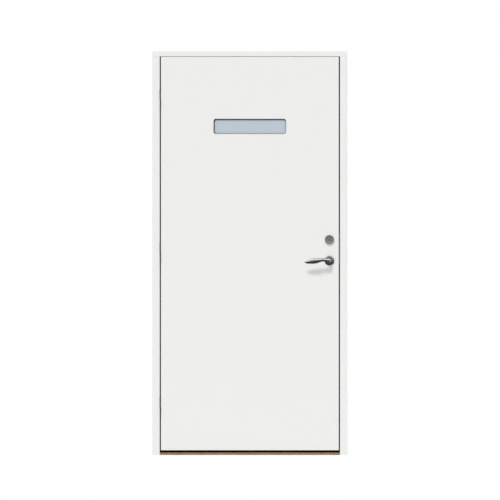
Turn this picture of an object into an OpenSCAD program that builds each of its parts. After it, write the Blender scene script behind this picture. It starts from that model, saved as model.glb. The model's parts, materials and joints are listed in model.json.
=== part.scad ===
// Front door set: a flush outward opening leaf with a small glazed slot, hung in a rebated frame.
// Millimetres, +Z up, front (outdoor) face towards -Y, origin at the middle of the threshold's underside.

/* [Frame] */
// Width over the two jambs
frame_w = 1004; // [850:1:1200]
// Height from the floor to the top of the head
frame_h = 2080; // [1980:1:2400]
// Depth from the front face to the back face
frame_d = 105; // [100:1:140]
// Width of a jamb's front face
jamb_face = 38; // [36:1:60]
// Height of the head's front face
head_face = 28; // [24:1:60]
// How far the stops reach behind the edge of the leaf
stop_lap = 14; // [12:1:24]
// Radius of the softened edges on frame and leaf
arris_r = 2; // [1:0.5:3]

/* [Threshold] */
// Height of the rounded front nosing
nose_h = 12.5; // [10:0.5:16]
// Radius of the nosing's front edge
nose_r = 4; // [2:0.5:6]
// Height of the weathered slope where it meets the stop
sill_h = 14; // [12:0.5:18]
// Height of the inner edge, on the room side
sill_back_h = 25; // [18:1:32]

/* [Gaps] */
// Gap between the leaf and each jamb
side_gap = 6; // [5:0.5:8]
// Gap between the leaf and the head
top_gap = 2; // [2:0.5:6]
// Height of the leaf's lower edge above the floor
leaf_lift = 24; // [22:1:30]
// Space between the back of the leaf and the stops, filled by the seals
seal_gap = 4; // [3:0.5:6]

/* [Leaf] */
// Thickness of the leaf
leaf_t = 62; // [60:1:68]
// Thickness of the outer and inner skin
skin_t = 6; // [4:0.5:8]
// Width of the stile on the hinge side
hinge_stile_w = 45; // [40:1:80]
// Width of the stile that holds the lock
lock_stile_w = 110; // [95:1:140]
// Height of the top rail
top_rail_h = 60; // [40:1:120]
// Height of the bottom rail
bottom_rail_h = 80; // [40:1:160]

/* [Window] */
// Width of the opening seen from outside
win_w = 374; // [200:1:500]
// Height of the opening seen from outside
win_h = 78; // [60:1:200]
// Corner radius of the opening
win_r = 13; // [8:0.5:25]
// Distance from the top of the frame down to the middle of the window
win_down = 388; // [330:1:600]
// Thickness of one glass pane
glass_t = 4; // [3:0.5:5]
// Gas gap between two panes
pane_gap = 12; // [8:1:12]
// Thickness of the glazing gaskets
gasket_t = 2; // [1:0.5:3]
// How much of the gasket shows inside the opening
gasket_show = 3; // [2:0.5:6]
// How far the glass reaches behind the outer skin
glass_lap = 12; // [8:1:20]
// Width of the spacer bars between the panes
spacer_w = 9; // [6:0.5:10]
// Wall of the lining that carries the glass in the leaf
lining_t = 15; // [10:1:30]
// How far the inner trim laps over the inner skin
trim_lap = 10; // [6:1:20]
// How far the inner trim stands out from the inner skin
trim_t = 3; // [2:0.5:6]

/* [Lock] */
// Distance of the spindle from the edge of the leaf
backset = 48; // [44:1:50]
// Height of the lever's spindle
handle_z = 1001; // [900:1:1100]
// Distance from the spindle up to the lock cylinder
lock_spacing = 108; // [98:1:120]
// Depth of the lock case behind the forend
case_d = 80; // [78:1:88]
// Thickness of the lock case
case_t = 16; // [15:0.5:20]
// Sheet thickness of the lock case
case_wall = 1.5; // [1:0.25:2]
// How far the lock case reaches past the spindle and the cylinder
case_end = 36; // [32:1:50]
// Width of the forend
forend_w = 22; // [20:1:25]
// Thickness of the forend
forend_t = 3; // [2:0.5:4]
// How far the forend reaches past the case at each end
forend_end = 29; // [20:1:40]
// Height of the latch bolt's head
latch_h = 30; // [24:1:32]
// Travel of the latch bolt
latch_throw = 12; // [9:1:12]
// Height of the deadbolt's head
deadbolt_h = 32; // [26:1:36]
// Travel of the deadbolt
deadbolt_throw = 20; // [16:1:20]
// Distance between the two through bolts of a handle or cylinder
bolt_pitch = 38; // [36:1:39]
// Diameter of the through bolts
bolt_d = 5; // [4:0.5:5]
// Side of the square spindle
spindle_w = 8; // [7:0.5:9]

/* [Strike plate] */
// Thickness of the strike plate
strike_t = 4; // [3:0.5:5]
// How far the strike plate stands out of the jamb into the gap
strike_proud = 2; // [0:0.5:2.5]
// How far the strike plate reaches below the spindle
strike_below = 23; // [20:1:40]
// How far the strike plate reaches above the cylinder
strike_above = 32; // [24:1:50]

/* [Handle] */
// Diameter of the round roses
rose_d = 49.5; // [48:0.5:54]
// Height of the roses over the leaf
rose_h = 9; // [7:0.5:12]
// Diameter of the lever's neck
neck_d = 20; // [18:0.5:22]
// Length of the lever from the spindle to its tip
lever_l = 127; // [110:1:145]
// Distance of the lever's grip from the leaf
lever_out = 50; // [42:1:60]

/* [Cylinder] */
// Diameter of the ring round the lock cylinder
ring_d = 47.5; // [46.5:0.5:52]
// Height of the ring over the leaf
ring_h = 11; // [8:0.5:14]
// Diameter of the lock cylinder
cyl_d = 28; // [24:0.5:28]
// Diameter of the key plug
plug_d = 13; // [12:0.5:15]
// Width of the key slot
key_w = 2.6; // [2:0.2:3]
// Height of the key slot
key_h = 9; // [7:0.5:9.5]
// Height of the thumb turn's wing
turn_l = 40; // [30:1:44]

/* [Hinges] */
// Diameter of the hinge barrel
barrel_d = 6; // [5.8:0.1:8]
// Diameter of the hinge pin
pin_d = 3.6; // [3:0.1:3.8]
// Height of a hinge
hinge_h = 100; // [90:1:120]
// Width of a hinge plate
plate_w = 31; // [28:1:34]
// Thickness of a hinge plate
plate_t = 2.5; // [2.2:0.1:3]
// How deep the hinge plates are let into the wood
plate_sink = 1.8; // [1.6:0.1:2]
// Distance from a leaf end to the middle of its hinge
hinge_end = 220; // [180:1:300]
// How far the hinge axis stands in front of the leaf
hinge_proud = 1; // [1:0.1:2]

/* [Fixings] */
// Bore radius of the fixing sleeves
sleeve_bore_r = 4.2; // [3.5:0.1:5]
// Outer diameter of the fixing sleeves
sleeve_d = 14; // [12:0.5:16]
// Distance from a jamb end to its first fixing sleeve
sleeve_end = 130; // [110:1:140]
// Length of the screws that join head, threshold and jambs
joint_screw_l = 80; // [70:1:100]
// Length of the screws in hinges, forend and strike plate
fitting_screw_l = 30; // [20:1:32]

/* [Clearances] */
// Sliding clearance of bolts and of the lock case in its mortise
slide_clear = 0.3; // [0.2:0.05:0.4]
// Radial clearance of turning necks, plugs and journals
turn_clear = 0.08; // [0.05:0.01:0.1]
// Radial clearance of the hinge pins
pin_clear = 0.05; // [0.03:0.01:0.1]
// Radial clearance round screws, sleeves and bolts
screw_clear = 0.1; // [0.05:0.05:0.3]
// Clearance between the seals and the back of the closed leaf
seal_clear = 0.3; // [0.2:0.1:0.5]
// Clearance round the hinge barrels, round let-in glass and trim, and beside the seals
fit_clear = 0.5; // [0.4:0.1:0.8]

/* [Hidden] */
$fn = 48;

// Colours
white_paint = [0.93, 0.93, 0.925];
oak = [0.60, 0.47, 0.34];
rubber = [0.12, 0.12, 0.12];
pine = [0.82, 0.70, 0.52];
foam = [0.90, 0.86, 0.70];
glass_blue = [0.73, 0.78, 0.82];
satin_chrome = [0.62, 0.62, 0.62];
zinc_steel = [0.70, 0.71, 0.73];
dark_steel = [0.20, 0.20, 0.21];

// Frame, in plan and elevation
jamb_x = frame_w / 2 - jamb_face;
y_front = -frame_d / 2;
y_back = frame_d / 2;
head_z = frame_h - head_face;
leaf_x = jamb_x - side_gap;
leaf_z0 = leaf_lift;
leaf_z1 = head_z - top_gap;
leaf_yb = y_front + leaf_t;
core_y0 = y_front + skin_t;
core_y1 = leaf_yb - skin_t;
stop_x = leaf_x - stop_lap;
stop_y = leaf_yb + seal_gap;
head_stop_z = leaf_z1 - stop_lap;
sill_stop_h = leaf_z0 + stop_lap;
// Overshoot that keeps cutting faces off the faces they cut
eps = 1;

// Seals: a hollow bulb on a stem that is pushed into a groove in the stop
bulb_w = 14;
bulb_wall = 1;
stem_w = 3;
stem_l = 8;
bulb_h = seal_gap - seal_clear;
seal_x = jamb_x - bulb_w / 2 - fit_clear;
seal_head_z = head_z - bulb_w / 2 - fit_clear;
seal_sill_z = sill_h + bulb_w / 2 + fit_clear;

// Window
win_z = frame_h - win_down;
pane_w = win_w + 2 * glass_lap;
pane_h = win_h + 2 * glass_lap;
pane_r = win_r + glass_lap / 2;
pocket_w = pane_w + 2 * fit_clear;
pocket_h = pane_h + 2 * fit_clear;
pane_y0 = core_y0 + gasket_t;
pane_y1 = pane_y0 + glass_t + pane_gap;
pane_y2 = pane_y1 + glass_t + pane_gap;
bead_y = pane_y2 + glass_t + gasket_t;

// Lock
spindle_x = leaf_x - backset;
cyl_z = handle_z + lock_spacing;
lock_y = y_front + leaf_t / 2;
case_x1 = leaf_x - forend_t;
case_x0 = case_x1 - case_d;
case_z0 = handle_z - case_end;
case_z1 = cyl_z + case_end;
case_room = case_t / 2 - case_wall;
bolt_half_t = case_room - slide_clear;
bolt_tip_x = leaf_x - slide_clear;
bolt_head_x = spindle_x + bolt_pitch / 2 + bolt_d / 2 + 2;
hub_r = 10;
journal_r = 7;
arm_r = 22;
arm_w = 6;
cam_r = 8;
cam_journal_r = 6;
cam_pin_r = 3;
cam_throw = deadbolt_throw * 0.8;
cam_square = 6;
tail_h = 12;
// Latch and deadbolt tails lie on one side of the middle plane, the arms that pull them on the other
layer_gap = slide_clear;
// Wood hollowed out behind the strike plate, and the room round a bolt's head in it
strike_room = 1.6;
strike_x = jamb_x - strike_proud;
pocket_d = deadbolt_throw - side_gap + 6;
strike_y1 = lock_y + 14;
strike_screw_pitch = 34;

// Handle and cylinder
bolt_r = bolt_d / 2;
rose_wall = 1.5;
base_t = 5;
base_r = rose_d / 2 - rose_wall - slide_clear;
turn_base_r = ring_d / 2 - rose_wall - slide_clear;
turn_neck_r = 8;
collar_t = 3;
collar_r = cyl_d / 2 + 1.2;

// Hinges
axis_x = -(leaf_x + side_gap / 2);
axis_y = y_front - hinge_proud;
barrel_r = barrel_d / 2;
plate_y1 = y_front + plate_w;
plate_out = plate_t - plate_sink;
knuckle_gap = 0.3;
pin_half_l = hinge_h * 0.4;
hinge_zs = [leaf_z0 + hinge_end, (leaf_z0 + leaf_z1) / 2, leaf_z1 - hinge_end];
hinge_screw_y = y_front + plate_w * 0.66;
hinge_screw_step = hinge_h * 0.38;

// Screws: diameters of shank and head
fitting_screw = [4, 8];
joint_screw = [5, 10];
sleeve_flange_r = sleeve_d / 2 + 3;
sleeve_flange_t = 2;
sleeve_zs = [for (i = [0:3]) sleeve_end + i * (head_z - 2 * sleeve_end) / 3];

// Outline helpers

// Rectangle from corner a to corner b with true round corners
module rounded_rect(a, b, r) {
  translate([a.x + r, a.y]) square([b.x - a.x - 2 * r, b.y - a.y]);
  translate([a.x, a.y + r]) square([b.x - a.x, b.y - a.y - 2 * r]);
  for (x = [a.x + r, b.x - r], y = [a.y + r, b.y - r])
    translate([x, y]) circle(r = r);
}

// Rounded rectangle of a given size about the window's middle, drawn in X and Z
module window_rect(w, h, r) {
  rounded_rect([-w / 2, win_z - h / 2], [w / 2, win_z + h / 2], r);
}

// Carries an outline drawn in X and Y from one height to another
module upright(z0, z1) {
  translate([0, 0, z0]) linear_extrude(z1 - z0) children();
}

// Carries an outline drawn in X and Z from one depth to another
module through_y(y0, y1) {
  translate([0, y1, 0]) rotate([90, 0, 0]) linear_extrude(y1 - y0) children();
}

// Carries an outline drawn in Y and Z from one side to another
module along_x(x0, x1) {
  translate([x0, 0, 0]) rotate([90, 0, 90]) linear_extrude(x1 - x0) children();
}

// Box between two corners
module block(a, b) {
  translate(a) cube(b - a);
}

// Round bar along Y at a place in X and Z
module bar_y(x, z, r, y0, y1) {
  translate([x, y1, z]) rotate([90, 0, 0]) cylinder(r = r, h = y1 - y0);
}

// Turns an outline of radius and height into a solid standing on a face at depth y, rising to side s
module turned_on_face(x, y, z, s) {
  translate([x, y, z]) rotate([s < 0 ? 90 : -90, 0, 0]) rotate_extrude() children();
}

// Countersunk wood screw along -Z with its head's top at the origin, grown by c where it cuts its hole
module wood_screw(l, d, c = 0) {
  r = d[0] / 2 + c;
  h = d[1] / 2 + c;
  mouth = c > 0 ? [[0, c], [h, c]] : [[0, 0]];
  rotate_extrude()
    polygon(concat(mouth, [[h, 0], [r, r - h], [r, d[0] - l], [0, -l - c]]));
}

// Frame

// What the softened edge takes off a square corner at the origin
module arris_outline() {
  difference() {
    translate([-arris_r, -arris_r]) square(arris_r + eps);
    translate([-arris_r, -arris_r]) circle(r = arris_r);
  }
}

module flipped(u, v) {
  mirror([u < 0 ? 1 : 0, 0]) mirror([0, v < 0 ? 1 : 0]) children();
}

// Plank on the right-hand side, from the floor to the underside of the head
module jamb_blank() {
  difference() {
    upright(0, head_z)
      rounded_rect([jamb_x, y_front], [frame_w / 2, y_back], arris_r);
    along_x(jamb_x - eps, frame_w / 2 + eps)
      translate([y_front, head_z]) flipped(-1, 1) arris_outline();
    for (z = sleeve_zs)
      sleeve_at(z, screw_clear);
    joint_screw_places() wood_screw(joint_screw_l, joint_screw, screw_clear);
  }
}

// Fixing sleeve through the right-hand jamb, with its flange in the rebate
module sleeve_at(z, c = 0) {
  translate([jamb_x, lock_y, z]) rotate([0, 90, 0]) {
    cylinder(r = sleeve_d / 2 + c, h = jamb_face);
    translate([0, 0, -c]) cylinder(r = sleeve_flange_r + c, h = sleeve_flange_t + c);
  }
}

// Places of the screws that join head and threshold to the right-hand jamb
module joint_screw_places() {
  for (y = [y_front + frame_d * 0.25, y_front + frame_d * 0.75]) {
    translate([jamb_x + jamb_face / 2, y, frame_h]) children();
    translate([frame_w / 2, y, nose_h / 2]) rotate([0, 90, 0]) children();
  }
}

module both_sides() {
  children();
  mirror([1, 0, 0]) children();
}

module hinge_jamb() {
  color(white_paint) difference() {
    mirror([1, 0, 0]) jamb_blank();
    for (z = hinge_zs) {
      hinge_recess(z, -jamb_x - plate_sink, -jamb_x + eps);
      hinge_screw_places(z, -jamb_x + plate_out, -1)
        wood_screw(fitting_screw_l, fitting_screw, screw_clear);
    }
  }
}

module lock_jamb() {
  color(white_paint) difference() {
    jamb_blank();
    block([jamb_x - eps, y_front - eps, handle_z - strike_below],
          [strike_x + strike_t, strike_y1, cyl_z + strike_above]);
    strike_openings(jamb_x - eps, jamb_x + pocket_d, strike_room + fit_clear);
    strike_screw_places() wood_screw(fitting_screw_l, fitting_screw, screw_clear);
  }
}

module frame_head() {
  color(white_paint) difference() {
    along_x(-frame_w / 2, frame_w / 2)
      rounded_rect([y_front, head_z], [y_back, frame_h], arris_r);
    both_sides() joint_screw_places() wood_screw(joint_screw_l, joint_screw, screw_clear);
  }
}

// Stops planted on the jambs, each with a groove for its seal
module side_stops() {
  color(white_paint) both_sides() difference() {
    upright(sill_stop_h, head_z)
      rounded_rect([stop_x, stop_y], [jamb_x, y_back], arris_r);
    upright(sill_stop_h - eps, head_z + eps)
      translate([seal_x - stem_w / 2, stop_y - eps]) square([stem_w, stem_l + eps]);
  }
}

// Stop planted under the head, between the side stops
module head_stop() {
  color(white_paint) difference() {
    along_x(-stop_x, stop_x)
      rounded_rect([stop_y, head_stop_z], [y_back, head_z], arris_r);
    along_x(-stop_x - eps, stop_x + eps)
      translate([stop_y - eps, seal_head_z - stem_w / 2]) square([stem_l + eps, stem_w]);
  }
}

// Weathered hardwood sill with a round nosing and a raised stop
module threshold() {
  top_y = stop_y + (y_back - stop_y) / 2;
  color(oak) difference() {
    along_x(-jamb_x, jamb_x) {
      polygon([
        [y_front + nose_r, 0], [y_back, 0], [y_back, sill_back_h], [top_y, sill_stop_h],
        [stop_y, sill_stop_h], [stop_y, sill_h], [y_front + nose_r, nose_h]
      ]);
      translate([y_front, 0]) square([2 * nose_r, nose_h - nose_r]);
      translate([y_front + nose_r, nose_h - nose_r]) circle(r = nose_r);
    }
    along_x(-jamb_x - eps, jamb_x + eps)
      translate([stop_y - eps, seal_sill_z - stem_w / 2]) square([stem_l + eps, stem_w]);
    both_sides() joint_screw_places() wood_screw(joint_screw_l, joint_screw, screw_clear);
  }
}

// Section of a seal: bulb towards -Y, stem towards +Y, with its root at the origin
module seal_outline(with_stem = true) {
  difference() {
    rounded_rect([-bulb_w / 2, -bulb_h], [bulb_w / 2, 0], bulb_h / 2 - slide_clear);
    translate([0, -bulb_h / 2]) circle(r = bulb_h / 2 - bulb_wall);
  }
  if (with_stem)
    translate([-stem_w / 2, -slide_clear]) square([stem_w, stem_l]);
}

module side_seals() {
  color(rubber) both_sides()
    upright(sill_stop_h, head_z) translate([seal_x, stop_y]) seal_outline();
}

// Seal that lies across the door at height z between two half lengths for bulb and stem
module cross_seal(z, bulb_x, stem_x) {
  translate([0, stop_y, z]) rotate([0, 90, 0]) {
    translate([0, 0, -bulb_x]) linear_extrude(2 * bulb_x) seal_outline(false);
    translate([0, 0, -stem_x]) linear_extrude(2 * stem_x)
      translate([-stem_w / 2, -slide_clear]) square([stem_w, stem_l]);
  }
}

module seal_head() {
  color(rubber) cross_seal(seal_head_z, seal_x - bulb_w / 2, stop_x);
}

module seal_threshold() {
  color(rubber) cross_seal(seal_sill_z, jamb_x - slide_clear, jamb_x - slide_clear);
}

module frame_joint_screws() {
  color(zinc_steel)
    both_sides() joint_screw_places() wood_screw(joint_screw_l, joint_screw);
}

module fixing_sleeves() {
  color(zinc_steel) both_sides()
    for (z = sleeve_zs)
      difference() {
        sleeve_at(z);
        translate([jamb_x - eps, lock_y, z]) rotate([0, 90, 0])
          cylinder(r = sleeve_bore_r, h = jamb_face + 2 * eps);
      }
}

// Strike plate

// Room for the latch and the deadbolt, from one X to another, with space round their heads
module strike_openings(x0, x1, room) {
  half_y = bolt_half_t + room;
  for (b = [[handle_z, latch_h], [cyl_z, deadbolt_h]])
    block([x0, lock_y - half_y, b[0] - b[1] / 2 - room],
          [x1, lock_y + half_y, b[0] + b[1] / 2 + room]);
}

module strike_screw_places() {
  mid_z = (handle_z + cyl_z) / 2;
  for (s = [-1, 1])
    translate([strike_x, lock_y, mid_z + s * strike_screw_pitch / 2]) rotate([0, -90, 0]) children();
}

// Flat plate let half into the rebate, with its front edge level with the face of the jamb
module strike_plate() {
  color(satin_chrome) difference() {
    block([strike_x, y_front, handle_z - strike_below],
          [strike_x + strike_t, strike_y1, cyl_z + strike_above]);
    strike_openings(strike_x - eps, strike_x + strike_t + eps, strike_room);
    strike_screw_places() wood_screw(fitting_screw_l, fitting_screw, screw_clear);
  }
}

module strike_screws() {
  color(zinc_steel) strike_screw_places() wood_screw(fitting_screw_l, fitting_screw);
}

// Hinges

// Wood taken away for a hinge between two X values, with room for the barrel to turn
module hinge_recess(z, x0, x1) {
  half_h = hinge_h / 2 + fit_clear;
  block([x0, y_front - eps, z - half_h], [x1, plate_y1 + screw_clear, z + half_h]);
  translate([axis_x, axis_y, z - half_h]) cylinder(r = barrel_r + fit_clear, h = 2 * half_h);
}

// Places of a plate's screws, on a plate face at x, with the points towards side s
module hinge_screw_places(z, x, s) {
  for (i = [-1, 0, 1])
    translate([x, hinge_screw_y, z + i * hinge_screw_step]) rotate([0, -s * 90, 0]) children();
}

// One half of a lift-off hinge: a plate with a knuckle over its lower (up = 0) or upper (up = 1) part
module hinge_half(z, x0, face_x, s, up) {
  ends = [z - hinge_h / 2, z + hinge_h / 2];
  own_z = up == 1 ? z + knuckle_gap / 2 : ends[0];
  half_h = (hinge_h - knuckle_gap) / 2;
  clear_y = axis_y + barrel_r + fit_clear;
  web_y = axis_y + barrel_r * 0.8;
  difference() {
    union() {
      block([x0, clear_y, ends[0]], [x0 + plate_t, plate_y1, ends[1]]);
      block([x0, y_front, own_z], [x0 + plate_t, clear_y + eps, own_z + half_h]);
      block([min(x0, axis_x), y_front, own_z], [max(x0 + plate_t, axis_x), web_y, own_z + half_h]);
      translate([axis_x, axis_y, own_z]) cylinder(r = barrel_r, h = half_h);
    }
    translate([axis_x, axis_y, z - pin_half_l - slide_clear])
      cylinder(r = pin_d / 2 + pin_clear, h = 2 * (pin_half_l + slide_clear));
    hinge_screw_places(z, face_x, s) wood_screw(fitting_screw_l, fitting_screw, screw_clear);
  }
}

module hinge_frame_half(z) {
  color(dark_steel)
    hinge_half(z, -jamb_x - plate_sink, -jamb_x + plate_out, -1, 0);
}

module hinge_leaf_half(z) {
  color(dark_steel)
    hinge_half(z, -leaf_x - plate_out, -leaf_x - plate_out, 1, 1);
}

module lower_hinge_frame_half() {
  hinge_frame_half(hinge_zs[0]);
}

module middle_hinge_frame_half() {
  hinge_frame_half(hinge_zs[1]);
}

module upper_hinge_frame_half() {
  hinge_frame_half(hinge_zs[2]);
}

module lower_hinge_leaf_half() {
  hinge_leaf_half(hinge_zs[0]);
}

module middle_hinge_leaf_half() {
  hinge_leaf_half(hinge_zs[1]);
}

module upper_hinge_leaf_half() {
  hinge_leaf_half(hinge_zs[2]);
}

module hinge_pins() {
  color(zinc_steel) for (z = hinge_zs)
    translate([axis_x, axis_y, z - pin_half_l]) cylinder(r = pin_d / 2, h = 2 * pin_half_l);
}

module hinge_frame_screws() {
  color(dark_steel) for (z = hinge_zs)
    hinge_screw_places(z, -jamb_x + plate_out, -1) wood_screw(fitting_screw_l, fitting_screw);
}

module hinge_leaf_screws() {
  color(dark_steel) for (z = hinge_zs)
    hinge_screw_places(z, -leaf_x - plate_out, 1) wood_screw(fitting_screw_l, fitting_screw);
}

// Leaf

// Softens the four edges of a leaf face at depth y whose outside lies towards side out
module face_arrises(y, out) {
  for (s = [-1, 1])
    upright(leaf_z0 - eps, leaf_z1 + eps)
      translate([s * leaf_x, y]) flipped(s, out) arris_outline();
  for (edge = [[leaf_z0, -1], [leaf_z1, 1]])
    along_x(-leaf_x - eps, leaf_x + eps)
      translate([y, edge[0]]) flipped(out, edge[1]) arris_outline();
}

// Holes for the handle, the cylinder and the through bolts between two depths
module lock_holes(y0, y1, cylinder_r) {
  bar_y(spindle_x, handle_z, neck_d / 2 + 1, y0, y1);
  bar_y(spindle_x, cyl_z, cylinder_r, y0, y1);
  through_bolt_places() bar_y(0, 0, bolt_r + slide_clear, y0, y1);
}

module through_bolt_places() {
  for (z = [handle_z, cyl_z], s = [-1, 1])
    translate([spindle_x + s * bolt_pitch / 2, 0, z]) children();
}

module hinge_side_cuts() {
  for (z = hinge_zs) {
    hinge_recess(z, -leaf_x - eps, -leaf_x - plate_out + plate_t);
    hinge_screw_places(z, -leaf_x - plate_out, 1)
      wood_screw(fitting_screw_l, fitting_screw, screw_clear);
  }
}

module outer_skin() {
  color(white_paint) difference() {
    block([-leaf_x, y_front, leaf_z0], [leaf_x, core_y0, leaf_z1]);
    face_arrises(y_front, -1);
    through_y(y_front - eps, core_y0 + eps) window_rect(win_w, win_h, win_r);
    lock_holes(y_front - eps, core_y0 + eps, cyl_d / 2 + slide_clear);
    hinge_side_cuts();
  }
}

module inner_skin() {
  color(white_paint) difference() {
    block([-leaf_x, core_y1, leaf_z0], [leaf_x, leaf_yb, leaf_z1]);
    face_arrises(leaf_yb, 1);
    through_y(core_y1 - eps, leaf_yb + eps) window_rect(pocket_w, pocket_h, pane_r);
    lock_holes(core_y1 - eps, leaf_yb + eps, turn_neck_r + 1);
  }
}

module hinge_stile() {
  color(white_paint) difference() {
    block([-leaf_x, core_y0, leaf_z0], [-leaf_x + hinge_stile_w, core_y1, leaf_z1]);
    hinge_side_cuts();
  }
}

module lock_stile() {
  color(white_paint) difference() {
    block([leaf_x - lock_stile_w, core_y0, leaf_z0], [leaf_x, core_y1, leaf_z1]);
    block([case_x0 - slide_clear, lock_y - case_t / 2 - slide_clear, case_z0 - slide_clear],
          [leaf_x + eps, lock_y + case_t / 2 + slide_clear, case_z1 + slide_clear]);
    forend_block(screw_clear);
    forend_screw_places() wood_screw(fitting_screw_l, fitting_screw, screw_clear);
    lock_holes(core_y0 - eps, lock_y, cyl_d / 2 + slide_clear);
    lock_holes(lock_y, core_y1 + eps, turn_neck_r + 1);
  }
}

module rail(z0, z1) {
  color(white_paint) block([-leaf_x + hinge_stile_w, core_y0, z0], [leaf_x - lock_stile_w, core_y1, z1]);
}

module top_rail() {
  rail(leaf_z1 - top_rail_h, leaf_z1);
}

module bottom_rail() {
  rail(leaf_z0, leaf_z0 + bottom_rail_h);
}

module leaf_core() {
  color(foam) difference() {
    block([-leaf_x + hinge_stile_w, core_y0, leaf_z0 + bottom_rail_h],
          [leaf_x - lock_stile_w, core_y1, leaf_z1 - top_rail_h]);
    through_y(core_y0 - eps, core_y1 + eps)
      window_rect(pocket_w + 2 * lining_t, pocket_h + 2 * lining_t, pane_r);
  }
}

// Window

// Flat ring between two rounded rectangles about the window's middle
module window_ring(y0, y1, outer, outer_r, inner, inner_r) {
  through_y(y0, y1) difference() {
    window_rect(outer.x, outer.y, outer_r);
    window_rect(inner.x, inner.y, inner_r);
  }
}

module window_lining() {
  color(pine) window_ring(core_y0, core_y1,
    [pocket_w + 2 * lining_t, pocket_h + 2 * lining_t], pane_r, [pocket_w, pocket_h], pane_r);
}

module pane(y) {
  color(glass_blue) through_y(y, y + glass_t) window_rect(pane_w, pane_h, pane_r);
}

module outer_pane() {
  pane(pane_y0);
}

module middle_pane() {
  pane(pane_y1);
}

module inner_pane() {
  pane(pane_y2);
}

module glass_spacers() {
  inner = [pane_w - 2 * spacer_w, pane_h - 2 * spacer_w];
  color(zinc_steel) for (y = [pane_y0, pane_y1])
    window_ring(y + glass_t, y + glass_t + pane_gap, [pane_w, pane_h], pane_r, inner, win_r);
}

// Flat gasket behind the outer skin with a lip that covers the skin's cut edge
module outer_glazing_gasket() {
  seen = [win_w - 2 * gasket_show, win_h - 2 * gasket_show];
  seen_r = win_r - gasket_show;
  lip_y = core_y0 - skin_t / 2;
  color(rubber) {
    window_ring(core_y0, pane_y0, [pane_w, pane_h], pane_r, seen, seen_r);
    window_ring(lip_y, core_y0, [win_w - 2 * screw_clear, win_h - 2 * screw_clear], win_r - screw_clear,
      seen, seen_r);
  }
}

module inner_glazing_gasket() {
  color(rubber) window_ring(bead_y - gasket_t, bead_y, [pane_w, pane_h], pane_r, [win_w, win_h], win_r);
}

// Bead that holds the glass from the room side, with a flange over the inner skin
module inner_window_trim() {
  opening = [win_w, win_h];
  flange = [pocket_w + 2 * trim_lap, pocket_h + 2 * trim_lap];
  color(white_paint) {
    window_ring(bead_y, leaf_yb, [pane_w, pane_h], pane_r, opening, win_r);
    window_ring(leaf_yb, leaf_yb + trim_t, flange, pane_r + trim_lap / 2, opening, win_r);
  }
}

// Lock

module forend_block(c = 0) {
  half_w = forend_w / 2 + c;
  block([case_x1, lock_y - half_w, case_z0 - forend_end - c],
        [leaf_x + c, lock_y + half_w, case_z1 + forend_end + c]);
}

module forend_screw_places() {
  for (z = [case_z0 - forend_end / 2, case_z1 + forend_end / 2])
    translate([leaf_x, lock_y, z]) rotate([0, 90, 0]) children();
}

module forend() {
  room = slide_clear;
  half_y = bolt_half_t + room;
  color(satin_chrome) difference() {
    forend_block();
    for (b = [[handle_z, latch_h], [cyl_z, deadbolt_h]])
      block([case_x1 - eps, lock_y - half_y, b[0] - b[1] / 2 - room],
            [leaf_x + eps, lock_y + half_y, b[0] + b[1] / 2 + room]);
    forend_screw_places() wood_screw(fitting_screw_l, fitting_screw, screw_clear);
  }
}

module forend_screws() {
  color(zinc_steel) forend_screw_places() wood_screw(fitting_screw_l, fitting_screw);
}

// Bearing holes and bolt holes that both side plates of the lock case share
module case_holes(y0, y1) {
  bar_y(spindle_x, handle_z, journal_r + turn_clear, y0, y1);
  bar_y(spindle_x, cyl_z, cam_journal_r + turn_clear, y0, y1);
  through_bolt_places() bar_y(0, 0, bolt_r + slide_clear, y0, y1);
}

// Folded steel case, open towards the forend and towards its cover
module lock_case() {
  y1 = lock_y + case_t / 2;
  color(zinc_steel) difference() {
    block([case_x0, lock_y - case_room, case_z0], [case_x1, y1, case_z1]);
    block([case_x0 + case_wall, lock_y - case_room - eps, case_z0 + case_wall],
          [case_x1 + eps, y1 - case_wall, case_z1 - case_wall]);
    case_holes(lock_y, y1 + eps);
  }
}

module lock_case_cover() {
  y0 = lock_y - case_t / 2;
  color(zinc_steel) difference() {
    block([case_x0, y0, case_z0], [case_x1, y0 + case_wall, case_z1]);
    case_holes(y0 - eps, lock_y);
  }
}

// Hub turned about an axis along Y at a height, thick between the plates and thinner in their holes
module plate_hub(z, r, end_r) {
  half_in = case_room - slide_clear;
  half_out = case_t / 2;
  translate([spindle_x, lock_y, z]) rotate([90, 0, 0]) rotate_extrude()
    polygon([[0, -half_out], [end_r, -half_out], [end_r, -half_in], [r, -half_in],
             [r, half_in], [end_r, half_in], [end_r, half_out], [0, half_out]]);
}

// Square bar along Y about the lock's axis at height z
module square_bar(z, w, y0, y1) {
  block([spindle_x - w / 2, y0, z - w / 2], [spindle_x + w / 2, y1, z + w / 2]);
}

// Hub on the spindle with an arm that points up to the latch's tail
module follower() {
  color(zinc_steel) difference() {
    union() {
      plate_hub(handle_z, hub_r, journal_r);
      block([spindle_x - arm_w / 2, lock_y + layer_gap, handle_z],
            [spindle_x + arm_w / 2, lock_y + bolt_half_t - fit_clear, handle_z + arm_r]);
    }
    square_bar(handle_z, spindle_w + 2 * screw_clear, lock_y - case_t, lock_y + case_t);
  }
}

module spindle() {
  reach = lever_out * 0.7;
  color(zinc_steel) square_bar(handle_z, spindle_w, y_front - reach, leaf_yb + reach);
}

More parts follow.
